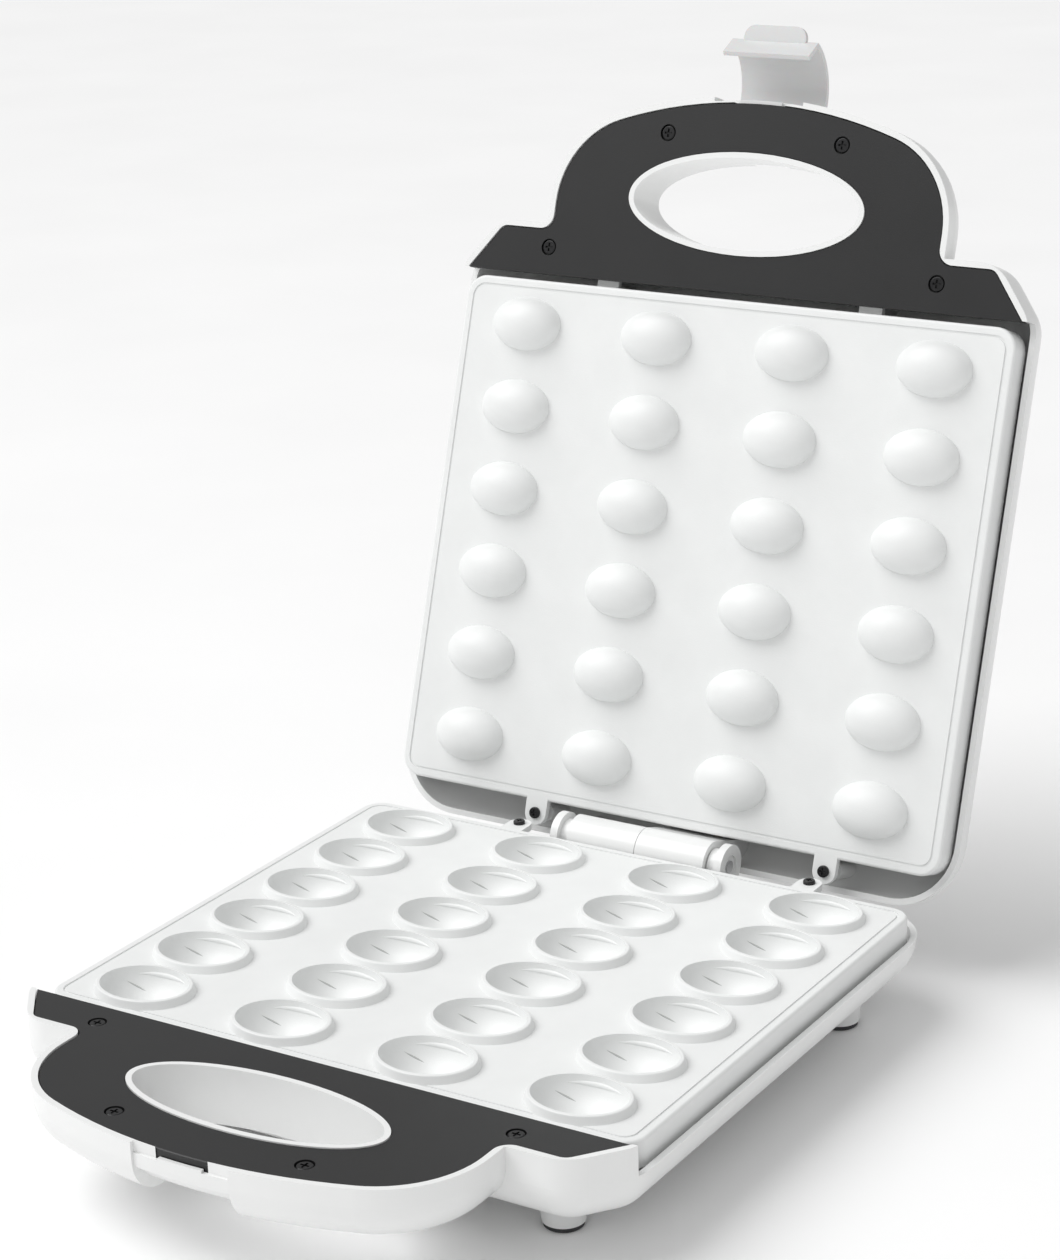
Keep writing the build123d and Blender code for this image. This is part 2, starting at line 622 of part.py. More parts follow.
def plate_lugs(surface):
    """Rounded rear lugs and the front tabs under the cover, with their screw holes."""
    pieces = []
    for x, y, lower in plate_screw_places():
        span = (min(y, PLATE_BACK - 1), y) if y > 0 else (y, PLATE_FRONT + 1)
        height = (-surface - lower - LUG_THICK, -surface - lower)
        half = LUG_WIDTH / 2
        lug = slab((x - half, x + half), span, height) + post(x, y, height, half)
        pieces.append(lug - post(x, y, height, SCREW_HOLE))
    return pieces


def clamp_posts(surface, reach):
    """Bosses under a plate that the heater's straps are screwed to."""
    span = (-reach, -surface - PLATE_THICK / 2)
    return [post(x, y, span, CLAMP_POST) for x, y in clamp_places()]


def screw_bores(places, reach):
    """Bores for small screws, from the end of a boss upwards."""
    return [post(x, y, (-reach, -reach + SMALL_BORE_DEPTH), SMALL_SHANK + 0.1) for x, y in places]


def clamp_places():
    """Screw places of the heater's straps."""
    return [
        (side * HEATER_HALF + offset_x, y)
        for side in (-1, 1)
        for offset_x in (-CLAMP_HALF, CLAMP_HALF)
        for y in CLAMP_YS
    ]


def lower_plate():
    """Cast plate with the moulds, each a smooth bowl with a raised ring."""
    plate = plate_blank(LOWER_SURFACE, LOWER_LEDGE)
    base_x = CAVITY_X + 2 * (RING_LAND + RING_SLOPE)
    base_y = CAVITY_Y + 2 * (RING_LAND + RING_SLOPE)
    foot = LOWER_SURFACE + PLATE_THICK / 2
    ring = loft([
        Pos(0, 0, -foot) * Ellipse(base_x / 2, base_y / 2),
        Ellipse(CAVITY_X / 2 + RING_LAND, CAVITY_Y / 2 + RING_LAND),
    ])
    ring = fillet(ring.edges().group_by(Axis.Z)[-1], RING_LAND / 2)
    bowl = half_egg(CAVITY_X + 2 * MOULD_WALL, CAVITY_Y + 2 * MOULD_WALL,
                    CAVITY_DEPTH + MOULD_WALL, foot)
    plate += [Pos(x, y, 0) * piece for x, y in MOULD_CENTRES for piece in (ring, bowl)]
    reach = lower_strap_depth()
    plate += clamp_posts(LOWER_SURFACE, reach)
    plate += [post(x, y, (-reflector_depth(), -LOWER_SURFACE - 1), CLAMP_POST) for x, y in REFLECTOR_POSTS]
    hollow = scale(Sphere(1), by=(CAVITY_X / 2, CAVITY_Y / 2, CAVITY_DEPTH))
    plate -= [Pos(x, y, 0) * hollow for x, y in MOULD_CENTRES]
    plate -= screw_bores(clamp_places(), reach)
    return plate - screw_bores(REFLECTOR_POSTS, reflector_depth())


def upper_plate():
    """Cast plate with the domes, hollow behind, drawn like the base's and mirrored."""
    plate = plate_blank(UPPER_SURFACE, UPPER_LEDGE)
    reach = upper_strap_depth()
    plate += clamp_posts(UPPER_SURFACE, reach)
    plate += [post(x, y, (-upper_reflector_depth(), -UPPER_SURFACE - 1), CLAMP_POST)
              for x, y in REFLECTOR_POSTS]
    plate -= screw_bores(clamp_places(), reach)
    plate -= screw_bores(REFLECTOR_POSTS, upper_reflector_depth())
    lift = Pos(0, 0, -UPPER_SURFACE)
    dome = lift * mirror(half_egg(DOME_X, DOME_Y, DOME_HEIGHT), about=Plane.XY)
    inside = [size - 2 * DOME_WALL for size in (DOME_X, DOME_Y)]
    hollow = lift * scale(Sphere(1), by=(inside[0] / 2, inside[1] / 2, DOME_HEIGHT - DOME_WALL))
    plate += [Pos(x, y, 0) * dome for x, y in MOULD_CENTRES]
    return mirror(plate - [Pos(x, y, 0) * hollow for x, y in MOULD_CENTRES], about=Plane.XY)


def plate_screws(surface):
    """Black screws of a plate: two in the rear lugs, two under the cover."""
    return [Pos(x, y, -surface - lower) * screw(PLATE_SCREW_HEAD, PLATE_SCREW_LENGTH)
            for x, y, lower in plate_screw_places()]


# ---- heaters, straps and reflectors ----
def heater_depth_below(top):
    """Axis of a heating rod whose top touches the given depth, with a little air."""
    return top + 0.3 + HEATER_RADIUS


def lower_heater_depth():
    return heater_depth_below(CAVITY_DEPTH + MOULD_WALL)


def upper_heater_depth():
    return heater_depth_below(UPPER_SURFACE + PLATE_THICK)


def lower_strap_depth():
    return lower_heater_depth() - HEATER_RADIUS + 1.5


def upper_strap_depth():
    return upper_heater_depth() - HEATER_RADIUS + 1.5


def reflector_depth():
    return lower_heater_depth() + HEATER_RADIUS + CLAMP_THICK + 0.4


def upper_reflector_depth():
    return upper_heater_depth() + HEATER_RADIUS + CLAMP_THICK + 0.4


def heating_element(depth):
    """U-shaped tubular heater with its two terminal pins at the back."""
    corners = [
        (-HEATER_HALF, HEATER_BACK, -depth),
        (-HEATER_HALF, HEATER_FRONT, -depth),
        (HEATER_HALF, HEATER_FRONT, -depth),
        (HEATER_HALF, HEATER_BACK, -depth),
    ]
    tube = tube_path(corners, HEATER_BEND, HEATER_RADIUS)
    pin = Pos(0, HEATER_BACK + HEATER_PIN_LENGTH / 2, -depth) * Rot(90, 0, 0)
    pin = pin * Cylinder(HEATER_PIN, HEATER_PIN_LENGTH)
    return tube + [Pos(side * HEATER_HALF, 0, 0) * pin for side in (-1, 1)]


def element_straps(depth, seat):
    """Bent steel straps that hold the heating rod up to the plate's bosses."""
    inner = HEATER_RADIUS + 0.1
    half = CLAMP_HALF + CLAMP_POST
    saddle = Rot(90, 0, 0) * Cylinder(inner + CLAMP_THICK, CLAMP_WIDTH)
    saddle &= slab((-half, half), (-CLAMP_WIDTH, CLAMP_WIDTH), (-20, depth - seat))
    wing = slab((-half, half), (-CLAMP_WIDTH / 2, CLAMP_WIDTH / 2),
                (depth - seat - CLAMP_THICK, depth - seat))
    strap = saddle + wing - Rot(90, 0, 0) * Cylinder(inner, CLAMP_WIDTH + 1)
    strap -= slab((-inner, inner), (-CLAMP_WIDTH, CLAMP_WIDTH), (0, 20))
    strap -= [post(x, 0, (-20, 20), SMALL_SHANK + 0.2) for x in (-CLAMP_HALF, CLAMP_HALF)]
    return [Pos(side * HEATER_HALF, y, -depth) * strap for side in (-1, 1) for y in CLAMP_YS]


def small_screws(places, seat):
    """Small screws driven up into bosses, heads below."""
    head = post(0, 0, (-SMALL_HEAD_HEIGHT, 0), SMALL_SHANK * 1.9)
    slot = slab((-4, 4), (-0.35, 0.35), (-1.3, -0.7))
    one = head - slot + post(0, 0, (0, SMALL_REACH), SMALL_SHANK)
    return [Pos(x, y, -seat) * one for x, y in places]


def reflector(depth):
    """Thin bright tray behind the heater."""
    middle = (REFLECTOR_FRONT + REFLECTOR_BACK) / 2
    length = REFLECTOR_BACK - REFLECTOR_FRONT
    outline = Pos(0, middle) * RectangleRounded(REFLECTOR_X, length, 12)
    inner = offset(outline, amount=-REFLECTOR_THICK)
    end = depth + REFLECTOR_THICK
    tray = prism(outline, (depth - REFLECTOR_LIP, end)) - prism(inner, (depth - REFLECTOR_LIP - 1, depth))
    tray -= [post(x, y, (-end - 1, 0), SMALL_SHANK + 0.2) for x, y in REFLECTOR_POSTS]
    gap = HEATER_RADIUS + 1.5
    notches = [slab((side * HEATER_HALF - gap, side * HEATER_HALF + gap),
                    (REFLECTOR_BACK - 2, REFLECTOR_BACK + 1), (-depth, -depth + REFLECTOR_LIP + 1))
               for side in (-1, 1)]
    return tray - notches


# ---- electrical pieces ----
def thermostat():
    """Round bimetal switch under the middle of the lower plate, with two tags."""
    top = LOWER_SURFACE + PLATE_THICK
    end = top + THERMOSTAT_HEIGHT
    can = post(0, 0, (-end, -top), THERMOSTAT_RADIUS)
    return can + [slab((x - 1.5, x + 1.5), (-0.4, 0.4), (-end - 3, -end)) for x in (-4, 4)]


def thermal_fuse():
    """Small one-shot fuse between two mould columns."""
    depth = LOWER_SURFACE + PLATE_THICK + FUSE_RADIUS
    return Pos(0, ROW_PITCH, -depth) * Rot(90, 0, 0) * Cylinder(FUSE_RADIUS, FUSE_LENGTH)


def block_y():
    """Middle of the terminal block."""
    return SHELL_BACK - WALL - BLOCK_BEFORE_WALL


def block_end():
    """Right-hand end of the terminal block, where the leads start."""
    return BLOCK_X + BLOCK_SIZE[0] / 2 + CLEARANCE


def terminal_block():
    """Ceramic block where the mains lead joins the inner wiring."""
    height = BLOCK_SIZE[2]
    block = Box(*BLOCK_SIZE) - [Pos(x, 0, 2) * Cylinder(1.6, height) for x in (-9, 0, 9)]
    return Pos(BLOCK_X, block_y(), -FLOOR_DEPTH + height / 2) * block


def cord_inlet_bush():
    """Rubber bush in the back wall that the mains lead passes through."""
    half = INLET_BOSS_LENGTH / 2
    bush = Cylinder(INLET_NECK - 0.1, 2 * half + 0.4)
    bush += [Pos(0, 0, side * (half + 1.1)) * Cylinder(INLET_FLANGE, 2) for side in (-1, 1)]
    bush -= Cylinder(INLET_BORE, 20)
    return Pos(INLET_X, SHELL_BACK - half, -INLET_DEPTH) * Rot(90, 0, 0) * bush


def base_wiring():
    """Leads from the terminal block to thermostat and heater, and the bundle to the hinge."""
    low = -FLOOR_DEPTH + WIRE_RADIUS + 0.8
    under_plate = -(LOWER_SURFACE + PLATE_THICK + WIRE_RADIUS + 2)
    start = block_end()
    side = THERMOSTAT_RADIUS - 1.5
    ends = THERMOSTAT_RADIUS + WIRE_RADIUS + 3
    pin = (HEATER_HALF, HEATER_BACK + HEATER_PIN_LENGTH + CLEARANCE, -lower_heater_depth())
    behind = pin[1] + 5
    front = block_y() - 4
    to_thermostat = [(start, front, low), (-side, front, low), (-side, front, under_plate),
                     (-side, ends, under_plate)]
    to_right_pin = [(side, ends, under_plate), (side, front, under_plate), (side, front, low),
                    (pin[0], front, low), (pin[0], behind, low), (pin[0], behind, pin[2]), pin]
    block_back = block_y() + BLOCK_SIZE[1] / 2 + CLEARANCE
    to_left_pin = [(BLOCK_X + 8, block_back, low), (BLOCK_X + 8, behind, low), (-pin[0], behind, low),
                   (-pin[0], behind, pin[2]), (-pin[0], pin[1], pin[2])]
    duct = (-BARREL_LENGTH + BARREL_END + 5, HINGE_Y - DUCT_RADIUS / 2)
    bundle_low = -FLOOR_DEPTH + BUNDLE_RADIUS + 0.5
    lane = front + WIRE_RADIUS + BUNDLE_RADIUS + 0.5
    mouth = -DUCT_END + BUNDLE_RADIUS + 0.2
    bundle = [(start, lane, bundle_low), (duct[0], lane, bundle_low), (duct[0], lane, mouth),
              (duct[0], duct[1], mouth), (duct[0], duct[1], -HINGE_DEPTH),
              (SPIGOT_LENGTH - 0.5, duct[1], -HINGE_DEPTH)]
    wires = [tube_path(points, WIRE_BEND, WIRE_RADIUS)
             for points in (to_thermostat, to_right_pin, to_left_pin)]
    return wires + [tube_path(bundle, BUNDLE_BEND, BUNDLE_RADIUS)]


def lid_wiring():
    """Bundle out of the hinge, and leads to the lid's heater and lamps (closed lid)."""
    duct = (BARREL_LENGTH - BARREL_END - 6, HINGE_Y - DUCT_RADIUS / 2)
    mouth = DUCT_END - BUNDLE_RADIUS - 0.2
    end_y = HEATER_BACK - 6
    bundle = [(SPIGOT_LENGTH + 0.6, duct[1], -HINGE_DEPTH), (duct[0], duct[1], -HINGE_DEPTH),
              (duct[0], duct[1], mouth), (duct[0], end_y, mouth)]
    over_pin = upper_heater_depth() + HEATER_PIN + CLEARANCE
    pin_y = HEATER_BACK + HEATER_PIN_LENGTH / 2
    leads = []
    for side in (-1, 1):
        points = [(duct[0] + side * (BUNDLE_RADIUS + CLEARANCE), end_y + 3, mouth),
                  (side * HEATER_HALF, end_y + 3, mouth), (side * HEATER_HALF, pin_y, mouth),
                  (side * HEATER_HALF, pin_y, over_pin)]
        leads.append(tube_path(points, WIRE_BEND, WIRE_RADIUS))
    lamp_lead = [(duct[0], end_y - CLEARANCE, mouth), (duct[0], lamp_y() + 9, mouth)]
    leads.append(tube_path_straight(lamp_lead, WIRE_RADIUS))
    return [tube_path(bundle, BUNDLE_BEND, BUNDLE_RADIUS)] + leads


def tube_path_straight(points, radius):
    """Straight lead along Y between two points."""
    (x, y_start, z), (_, y_end, _) = points
    return Pos(x, (y_start + y_end) / 2, z) * Rot(90, 0, 0) * Cylinder(radius, abs(y_end - y_start))


def lamp(x):
    """Lens of an indicator lamp, domed outside and flanged inside the lid."""
    lens = post(x, lamp_y(), (FLOOR_DEPTH - 1, BODY_DEPTH + LAMP_PROUD), LAMP_RADIUS - 0.1)
    lens = fillet(lens.edges().group_by(Axis.Z)[-1], LAMP_PROUD * 0.9)
    return lens + post(x, lamp_y(), (FLOOR_DEPTH - 2.5, FLOOR_DEPTH), LAMP_RADIUS + 1.5)


def lamp_board():
    """Small board that carries both indicator lamps."""
    width = LAMP_XS[1] - LAMP_XS[0] + 2 * LAMP_RADIUS + 14
    high = FLOOR_DEPTH - 2.5
    board = slab((-width / 2, width / 2), (lamp_y() - 7, lamp_y() + 7), (high - 3.2, high - 1.6))
    return board + [post(x, lamp_y(), (high - 1.6, high), LAMP_RADIUS - 0.6) for x in LAMP_XS]


# ---- latch ----
def latch():
    """Bowed clip (closed): eye on the pin, panel round the handles, hook and finger tab."""
    bow_centre = (HANDLE_FRONT - LATCH_STANDOFF + LATCH_BOW, (LOWER_RIM + UPPER_RIM) / 2)
    half_angle = math.radians(LATCH_BOW_HALF_ANGLE)

    def on_bow(angle, radius=LATCH_BOW):
        return (bow_centre[0] - radius * math.cos(angle), bow_centre[1] + radius * math.sin(angle))

    eye = (LATCH_PIN_Y, LATCH_PIN_HEIGHT)
    tip = (HANDLE_FRONT + LATCH_LIP_BACK, -LATCH_LIP_DEPTH)
    upper, lower = on_bow(half_angle), on_bow(-half_angle)
    tab_lean = math.radians(LATCH_TAB_SLOPE)
    tab_end = (lower[0] - LATCH_TAB_LENGTH * math.cos(tab_lean),
               lower[1] - LATCH_TAB_LENGTH * math.sin(tab_lean))
    run = [
        Line(eye, upper),
        ThreePointArc(upper, on_bow(0), lower),
        Line(lower, tip),
    ]
    panel = thick_strip(run, LATCH_WIDTH)
    panel += rod((-LATCH_WIDTH / 2, LATCH_WIDTH / 2), *eye, LATCH_EYE_RADIUS)
    tab = thick_strip([Line(lower, tab_end)], LATCH_TAB_WIDTH)
    ends = tab.edges().filter_by(lambda e: e.length < LATCH_THICK * 1.05)
    ends = ends.filter_by(lambda e: e.center().Z < tab_end[1] + LATCH_THICK)
    ends = ends.filter_by(lambda e: abs(abs(e.center().X) - LATCH_TAB_WIDTH / 2) < 0.01)
    tab = fillet(ends, LATCH_TAB_LENGTH * 0.7)
    panel += tab
    return panel - rod((-LATCH_WIDTH, LATCH_WIDTH), *eye, LATCH_PIN_RADIUS + RUNNING_FIT)


def thick_strip(run, width):
    """Strip of the latch's thickness along a run in the YZ plane, centred on x = 0."""
    flat = [edge.moved(Location((0, 0, 0))) for edge in run]
    face = trace(Wire(flat), line_width=LATCH_THICK)
    upright = Plane.YZ * face
    return Pos(-width / 2, 0, 0) * extrude(upright, width)


def latch_pin():
    """Steel pin through the latch's eye, held in the lid's cheeks."""
    half = NOTCH_HALF + POCKET_WALL - 1.2
    return rod((-half, half), LATCH_PIN_Y, LATCH_PIN_HEIGHT, LATCH_PIN_RADIUS - 0.02)


# ---- assembly ----
def base_nodes():
    """Everything that stands on the table."""
    nodes = {
        "lower_housing": lower_housing(),
        "lower_handle_cover": handle_cover(LOWER_RIM),
        "lower_cover_screws": group(cover_screws(LOWER_RIM)),
        "lower_plate": lower_plate(),
        "lower_plate_screws": group(plate_screws(LOWER_SURFACE)),
        "lower_heating_element": heating_element(lower_heater_depth()),
        "lower_element_straps": group(element_straps(lower_heater_depth(), lower_strap_depth())),
        "lower_strap_screws": group(small_screws(clamp_places(), lower_strap_depth() + CLAMP_THICK)),
        "lower_reflector": reflector(reflector_depth()),
        "lower_reflector_screws": group(small_screws(REFLECTOR_POSTS, reflector_depth() + REFLECTOR_THICK)),
        "thermostat": thermostat(),
        "thermal_fuse": thermal_fuse(),
        "terminal_block": terminal_block(),
        "cord_inlet_bush": cord_inlet_bush(),
        "base_wiring": group(base_wiring()),
        "hinge_pin_right": hinge_pin(1),
    }
    end = -BODY_DEPTH - FOOT_HEIGHT
    pad = post(0, 0, (end - PAD_HEIGHT, end), PAD_RADIUS)
    pad = chamfer(pad.edges().group_by(Axis.Z)[0], 0.4)
    pad += post(0, 0, (end - 0.5, end + PAD_PEG_LENGTH - 0.5), PAD_PEG - 0.05)
    for name, x, y in foot_places():
        nodes[f"foot_pad_{name}"] = Pos(x, y, 0) * pad
    return nodes


def up(shape):
    """Turns a piece drawn hanging below the closing plane into the lid's."""
    return mirror(shape, about=Plane.XY)


def lid_nodes():
    """Everything that opens with the lid, drawn closed."""
    heater = upper_heater_depth()
    seat = upper_strap_depth()
    tray = upper_reflector_depth()
    return {
        "upper_housing": upper_housing(),
        "upper_handle_cover": up(handle_cover(UPPER_RIM)),
        "upper_cover_screws": group([up(piece) for piece in cover_screws(UPPER_RIM)]),
        "upper_plate": upper_plate(),
        "upper_plate_screws": group([up(piece) for piece in plate_screws(UPPER_SURFACE)]),
        "upper_heating_element": up(heating_element(heater)),
        "upper_element_straps": group([up(piece) for piece in element_straps(heater, seat)]),
        "upper_strap_screws": group([up(s) for s in small_screws(clamp_places(), seat + CLAMP_THICK)]),
        "upper_reflector": up(reflector(tray)),
        "upper_reflector_screws": group([
            up(s) for s in small_screws(REFLECTOR_POSTS, tray + REFLECTOR_THICK)
        ]),
        "lid_wiring": group(lid_wiring()),
        "power_lamp": lamp(LAMP_XS[0]),
        "ready_lamp": lamp(LAMP_XS[1]),
        "lamp_board": lamp_board(),
        "hinge_pin_left": hinge_pin(-1),
        "latch_pin": latch_pin(),
    }


def turn(axis_y, axis_z, angle):
    """Turn about an axis along X."""
    return Pos(0, axis_y, axis_z) * Rot(angle, 0, 0) * Pos(0, -axis_y, -axis_z)


def assemble():
    """All nodes in the open rest pose, moved so that the origin is under the middle."""
    opened = turn(HINGE_Y, -HINGE_DEPTH, -OPEN_ANGLE)
    latch_opened = turn(LATCH_PIN_Y, LATCH_PIN_HEIGHT, -LATCH_TRAVEL)
    nodes = base_nodes()
    for name, shape in lid_nodes().items():
        nodes[name] = opened * shape
    nodes["latch"] = opened * latch_opened * latch()
    boxes = [shape.bounding_box() for shape in nodes.values()]
    low_y = min(box.min.Y for box in boxes)
    high_y = max(box.max.Y for box in boxes)
    to_origin = Pos(0, -(low_y + high_y) / 2, FLOOR_LEVEL)
    return {name: to_origin * shape for name, shape in nodes.items()}


os.makedirs("parts", exist_ok=True)
for node_name, node_shape in assemble().items():
    export_step(node_shape, f"parts/{node_name}.step")
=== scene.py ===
import json
import math

import bmesh
import bpy
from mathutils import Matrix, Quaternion, Vector
from mathutils.bvhtree import BVHTree


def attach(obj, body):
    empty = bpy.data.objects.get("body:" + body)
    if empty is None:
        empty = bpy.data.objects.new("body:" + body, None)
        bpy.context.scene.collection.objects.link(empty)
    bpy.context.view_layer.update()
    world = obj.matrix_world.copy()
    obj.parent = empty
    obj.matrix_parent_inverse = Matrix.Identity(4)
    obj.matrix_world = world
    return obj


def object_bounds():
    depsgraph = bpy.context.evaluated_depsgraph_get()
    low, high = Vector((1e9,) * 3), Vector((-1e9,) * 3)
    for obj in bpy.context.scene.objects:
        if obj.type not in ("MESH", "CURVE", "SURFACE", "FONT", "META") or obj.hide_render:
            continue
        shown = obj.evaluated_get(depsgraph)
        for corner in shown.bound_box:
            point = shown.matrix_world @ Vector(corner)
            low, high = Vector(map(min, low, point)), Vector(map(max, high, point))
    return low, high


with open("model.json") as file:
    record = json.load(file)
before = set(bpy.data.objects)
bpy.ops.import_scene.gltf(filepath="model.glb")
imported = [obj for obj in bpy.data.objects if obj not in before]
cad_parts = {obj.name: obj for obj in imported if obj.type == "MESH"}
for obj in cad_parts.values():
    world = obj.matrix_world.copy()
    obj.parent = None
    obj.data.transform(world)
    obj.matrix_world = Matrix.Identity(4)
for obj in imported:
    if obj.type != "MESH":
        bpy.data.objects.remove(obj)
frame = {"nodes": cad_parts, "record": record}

# Looks of an open mould iron for walnut-shaped biscuits. Metres, in the CAD model's frame.

CAD_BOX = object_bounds()
MM = 0.001

# ---- camera: the angle that the object is seen from ----
CAMERA_AZIMUTH = 32.40       # degrees towards +X from looking along +Y
CAMERA_ELEVATION = 18.62
CAMERA_ROLL = -1.86
CAMERA_LENS = 89.27          # mm on a 36 mm high sensor
CAMERA_PLACE = (0.5897, -0.9212, 0.5285)
SENSOR_HEIGHT = 36.0
CAMERA_FAR = 50              # nothing further than this is drawn

# ---- walnut marks in the moulds ----
# A mark runs from one place to another on a mould's wall. Its reach is a share of the mould
# box's half size, and its angles are in degrees round the mould, with 90 at the far side.
RIDGE_REACH = (1.93, 1.93)
RIDGE_ANGLES = (55.0, 130.0)
RIDGE_WIDTH = 2.0 * MM
RIDGE_HEIGHT = 0.5 * MM
# The creases are thin raised slivers in a darker grey than the plate: painted shade standing in for
# the shadow inside each groove of the mould.
CREASE_REACH = (1.82, 1.45)
CREASE_ANGLES = (149.0, 122.0)
CREASE_WIDTH = 0.7 * MM
CREASE_HEIGHT = 0.3 * MM
ROUTE_POINTS = 24
BURIED = 0.25 * MM           # how far a mark's underside lies in the wall
THINNEST = 0.08              # a mark's ends, as a share of its middle
# Across a mark: half widths to the side, and heights above the wall or depths below it.
MARK_SECTION = [(-1, -1), (-1, 0), (-0.55, 0.75), (0, 1), (0.55, 0.75), (1, 0), (1, -1)]

# ---- studio ----
FLOOR_SIZE = 60.0
FLOOR_CELLS = 8
SUN_STRENGTH = 1.65
SUN_SPREAD = 50.0
SUN_FROM = (-2.0, -1.0, 3.4)
WORLD_STRENGTH = 0.5
# Each softbox: its place, its width and height, and its power in watts.
SOFTBOXES = {
    "left_softbox": ((-1.3, -0.9, 1.5), (1.2, 1.2), 5),
    "front_softbox": ((0.7, -1.8, 1.1), (1.4, 0.8), 3),
}

# ---- materials ----
MOTTLE_DETAIL = 4
MOTTLE_RAMP = (0.3, 0.7)     # where the noise turns from the darker to the lighter shade
GLOSS_SPREAD = 0.12          # share that the roughness varies up and down
GRAIN_DETAIL = 3
GRAIN_DEPTH = 0.5 * MM
SCATTER_DEPTH = 4 * MM


# ---- camera ----
def add_camera():
    camera = bpy.data.objects.new("view_camera", bpy.data.cameras.new("view_camera"))
    bpy.context.scene.collection.objects.link(camera)
    camera.data.sensor_fit = "VERTICAL"
    camera.data.sensor_height = SENSOR_HEIGHT
    camera.data.lens = CAMERA_LENS
    camera.data.clip_end = CAMERA_FAR
    azimuth, elevation = math.radians(CAMERA_AZIMUTH), math.radians(CAMERA_ELEVATION)
    forward = Vector((-math.sin(azimuth) * math.cos(elevation),
                      math.cos(azimuth) * math.cos(elevation),
                      -math.sin(elevation)))
    turn = forward.to_track_quat("-Z", "Y")
    camera.rotation_mode = "QUATERNION"
    camera.rotation_quaternion = turn @ Quaternion((0, 0, 1), math.radians(CAMERA_ROLL))
    camera.location = CAMERA_PLACE
    bpy.context.scene.camera = camera


# ---- light and floor ----
def aim_at_middle(light, place):
    middle = (CAD_BOX[0] + CAD_BOX[1]) / 2
    light.rotation_euler = (middle - Vector(place)).to_track_quat("-Z", "Y").to_euler()
    bpy.context.scene.collection.objects.link(light)


def add_lights():
    sun = bpy.data.objects.new("soft_sun", bpy.data.lights.new("soft_sun", "SUN"))
    sun.data.energy = SUN_STRENGTH
    sun.data.angle = math.radians(SUN_SPREAD)
    aim_at_middle(sun, SUN_FROM)
    for name, (place, size, power) in SOFTBOXES.items():
        light = bpy.data.objects.new(name, bpy.data.lights.new(name, "AREA"))
        light.data.shape = "RECTANGLE"
        light.data.size, light.data.size_y = size
        light.data.energy = power
        light.location = place
        aim_at_middle(light, place)
    world = bpy.data.worlds.new("studio")
    world.use_nodes = True
    background = world.node_tree.nodes["Background"]
    background.inputs["Color"].default_value = (1, 1, 1, 1)
    background.inputs["Strength"].default_value = WORLD_STRENGTH
    bpy.context.scene.world = world
    bpy.context.scene.view_settings.view_transform = "Standard"


def add_floor():
    mesh = bpy.data.meshes.new("floor")
    form = bmesh.new()
    bmesh.ops.create_grid(form, x_segments=FLOOR_CELLS, y_segments=FLOOR_CELLS, size=FLOOR_SIZE / 2)
    form.to_mesh(mesh)
    form.free()
    floor = bpy.data.objects.new("floor", mesh)
    bpy.context.scene.collection.objects.link(floor)
    floor.data.materials.append(surface("pale_floor", (0.97, 0.97, 0.97), 0.8, variation=0.01,
                                        scale=6, bump=0.0, grain=40))


# ---- materials ----
def surface(name, colour, roughness, variation=0.02, scale=30, bump=0.02, grain=900,
            metallic=0.0, coat=0.0, subsurface=0.0, transmission=0.0, stretch=None):
    """A moulded or cast surface: mottled colour, uneven gloss and a fine grain."""
    material = bpy.data.materials.new(name)
    material.use_nodes = True
    nodes, links = material.node_tree.nodes, material.node_tree.links
    shader = nodes["Principled BSDF"]
    place = nodes.new("ShaderNodeTexCoord")
    source = place.outputs["Object"]
    if stretch:
        mapping = nodes.new("ShaderNodeMapping")
        mapping.inputs["Scale"].default_value = stretch
        links.new(source, mapping.inputs["Vector"])
        source = mapping.outputs["Vector"]
    cloud = nodes.new("ShaderNodeTexNoise")
    cloud.inputs["Scale"].default_value = scale
    cloud.inputs["Detail"].default_value = MOTTLE_DETAIL
    links.new(source, cloud.inputs["Vector"])
    ramp = nodes.new("ShaderNodeValToRGB")
    dark = [max(0.0, c * (1 - variation)) for c in colour]
    light = [min(1.0, c * (1 + variation)) for c in colour]
    for stop, position, shade in zip(ramp.color_ramp.elements, MOTTLE_RAMP, (dark, light)):
        stop.position = position
        stop.color = (*shade, 1)
    links.new(cloud.outputs["Fac"], ramp.inputs["Fac"])
    links.new(ramp.outputs["Color"], shader.inputs["Base Color"])
    gloss = nodes.new("ShaderNodeMapRange")
    gloss.inputs["To Min"].default_value = roughness * (1 - GLOSS_SPREAD)
    gloss.inputs["To Max"].default_value = min(1.0, roughness * (1 + GLOSS_SPREAD))
    links.new(cloud.outputs["Fac"], gloss.inputs["Value"])
    links.new(gloss.outputs["Result"], shader.inputs["Roughness"])
    if bump > 0:
        fine = nodes.new("ShaderNodeTexNoise")
        fine.inputs["Scale"].default_value = grain
        fine.inputs["Detail"].default_value = GRAIN_DETAIL
        links.new(source, fine.inputs["Vector"])
        relief = nodes.new("ShaderNodeBump")
        relief.inputs["Strength"].default_value = bump
        relief.inputs["Distance"].default_value = GRAIN_DEPTH
        links.new(fine.outputs["Fac"], relief.inputs["Height"])
        links.new(relief.outputs["Normal"], shader.inputs["Normal"])
    shader.inputs["Metallic"].default_value = metallic
    shader.inputs["Coat Weight"].default_value = coat
    shader.inputs["Subsurface Weight"].default_value = subsurface
    shader.inputs["Subsurface Scale"].default_value = SCATTER_DEPTH
    shader.inputs["Transmission Weight"].default_value = transmission
    return material


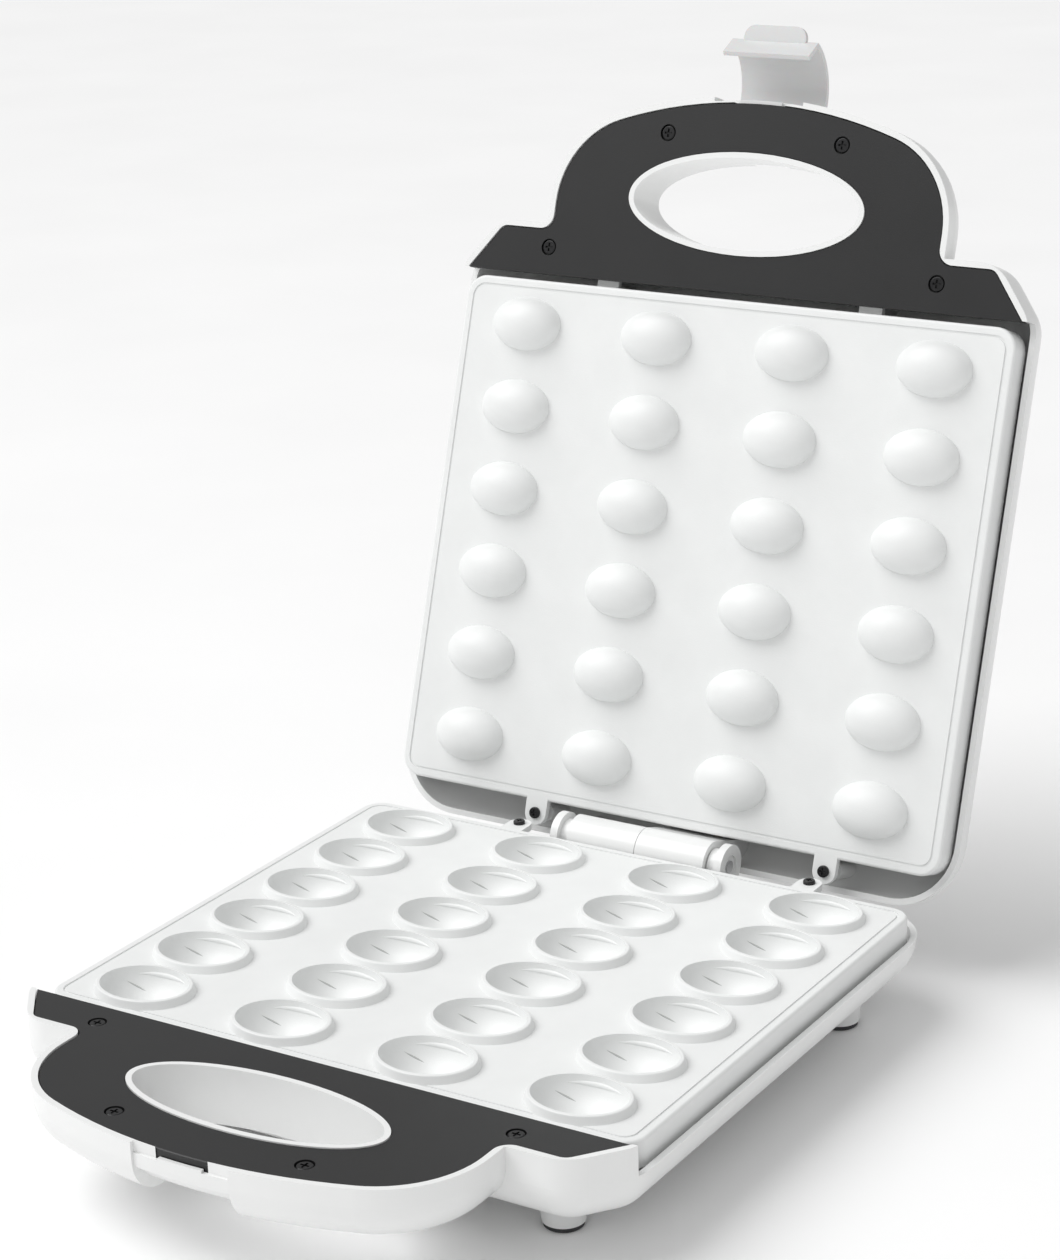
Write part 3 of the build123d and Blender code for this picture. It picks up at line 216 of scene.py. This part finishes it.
def finishes():
    """One material for each of the record's slots."""
    return {
        "housing_white": surface("moulded_white", (0.86, 0.865, 0.86), 0.30, 0.01, 25, 0.05, 1400,
                                 coat=0.25),
        "plate_white": surface("coated_white", (0.84, 0.85, 0.845), 0.42, 0.015, 60, 0.10, 1800),
        "cover_grey": surface("satin_dark_cover", (0.010, 0.010, 0.0105), 0.42, 0.06, 40, 0.08,
                              2200),
        "screw_black": surface("black_screw", (0.015, 0.015, 0.016), 0.32, 0.2, 300, 0.05, 3000,
                               metallic=0.4),
        "pad_rubber": surface("dark_rubber", (0.045, 0.045, 0.047), 0.82, 0.15, 200, 0.25, 2500),
        # Painted shade: the latch is the same white plastic as the housing, and its colour is
        # darkened to stand in for the shade that falls on its panel.
        "latch_white": surface("latch_plastic_painted_shade", (0.69, 0.70, 0.70), 0.30, 0.01, 30, 0.04, 1400,
                               coat=0.2, subsurface=0.12),
        "steel": surface("brushed_steel", (0.56, 0.56, 0.57), 0.32, 0.10, 120, 0.12, 700,
                         metallic=1.0, stretch=(1, 14, 14)),
        "bright_sheet": surface("bright_sheet", (0.78, 0.78, 0.80), 0.24, 0.05, 50, 0.06, 500,
                                metallic=1.0),
        "ceramic": surface("white_ceramic", (0.80, 0.77, 0.70), 0.65, 0.05, 90, 0.15, 1500),
        "wire_sleeve": surface("woven_sleeve", (0.66, 0.60, 0.50), 0.80, 0.18, 500, 0.35, 1500),
        "lamp_red": surface("red_lens", (0.62, 0.03, 0.02), 0.15, 0.05, 60, 0.03, 900,
                            transmission=0.25),
        "lamp_green": surface("green_lens", (0.04, 0.45, 0.08), 0.15, 0.05, 60, 0.03, 900,
                              transmission=0.25),
        "board": surface("circuit_board", (0.05, 0.20, 0.09), 0.5, 0.15, 200, 0.10, 1200),
    }


def paint_nodes(made):
    slots = {row["node"]: row["material_slot"] for row in frame["record"]["subparts"]}
    for name, node in frame["nodes"].items():
        node.data.materials.clear()
        node.data.materials.append(made[slots[name]])


# ---- walnut marks on the mould walls ----
def mould_boxes():
    openings = frame["record"]["physics"]["openings"]
    return [item["box_m"] for item in openings if item["name"].startswith("mould_")]


def wall_tree():
    plate = frame["nodes"]["lower_plate"].data
    corners = [v.co.copy() for v in plate.vertices]
    return BVHTree.FromPolygons(corners, [tuple(face.vertices) for face in plate.polygons])


def add_strip(form, tree, route, width, height):
    """A low closed bead on the wall straight below a route, thin at both ends."""
    rings = []
    for step, (x, y, z) in enumerate(route):
        spot, normal, _, _ = tree.ray_cast(Vector((x, y, z)), Vector((0, 0, -1)))
        if spot is None:
            continue
        ahead = Vector(route[min(step + 1, len(route) - 1)]) - Vector(route[max(step - 1, 0)])
        normal = normal if normal.z > 0 else -normal
        across = normal.cross(ahead).normalized()
        swell = max(THINNEST, math.sin(math.pi * (step + 0.5) / len(route)))
        ring = []
        for side, level in MARK_SECTION:
            lift = height * swell * level if level > 0 else BURIED * level
            ring.append(form.verts.new(spot + across * side * width * swell / 2 + normal * lift))
        rings.append(ring)
    for one, two in zip(rings, rings[1:]):
        for i in range(len(one)):
            j = (i + 1) % len(one)
            form.faces.new((one[i], one[j], two[j], two[i]))
    form.faces.new(rings[0])
    form.faces.new(list(reversed(rings[-1])))


def wall_route(low, high, reaches, angles):
    """Points above a mould, which lie above its wall when seen from the top."""
    middle = [(a + b) / 2 for a, b in zip(low, high)]
    half = [(b - a) / 2 for a, b in zip(low, high)]
    points = []
    for i in range(ROUTE_POINTS):
        share = i / (ROUTE_POINTS - 1)
        reach = reaches[0] + (reaches[1] - reaches[0]) * share
        angle = math.radians(angles[0] + (angles[1] - angles[0]) * share)
        points.append((middle[0] + half[0] * reach * math.cos(angle),
                       middle[1] + half[1] * reach * math.sin(angle), high[2]))
    return points


def add_marks(name, tree, reaches, angles, width, height, material):
    form = bmesh.new()
    for low, high in mould_boxes():
        add_strip(form, tree, wall_route(low, high, reaches, angles), width, height)
    bmesh.ops.recalc_face_normals(form, faces=form.faces)
    mesh = bpy.data.meshes.new(name)
    form.to_mesh(mesh)
    form.free()
    mesh.shade_smooth()
    piece = bpy.data.objects.new(name, mesh)
    bpy.context.scene.collection.objects.link(piece)
    piece.data.materials.append(material)
    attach(piece, "base")


add_camera()
add_lights()
add_floor()
made = finishes()
paint_nodes(made)
walls = wall_tree()
# Painted shade: the crease slivers are coloured darker than the plate so they read as the shadow
# inside each groove.
crease_painted_shade = surface("mould_crease_painted_shade", (0.52, 0.53, 0.52), 0.5, 0.03, 90, 0.1, 1800)
add_marks("walnut_ridges", walls, RIDGE_REACH, RIDGE_ANGLES, RIDGE_WIDTH, RIDGE_HEIGHT,
          made["plate_white"])
add_marks("walnut_crease_painted_shade", walls, CREASE_REACH, CREASE_ANGLES, CREASE_WIDTH, CREASE_HEIGHT,
          crease_painted_shade)
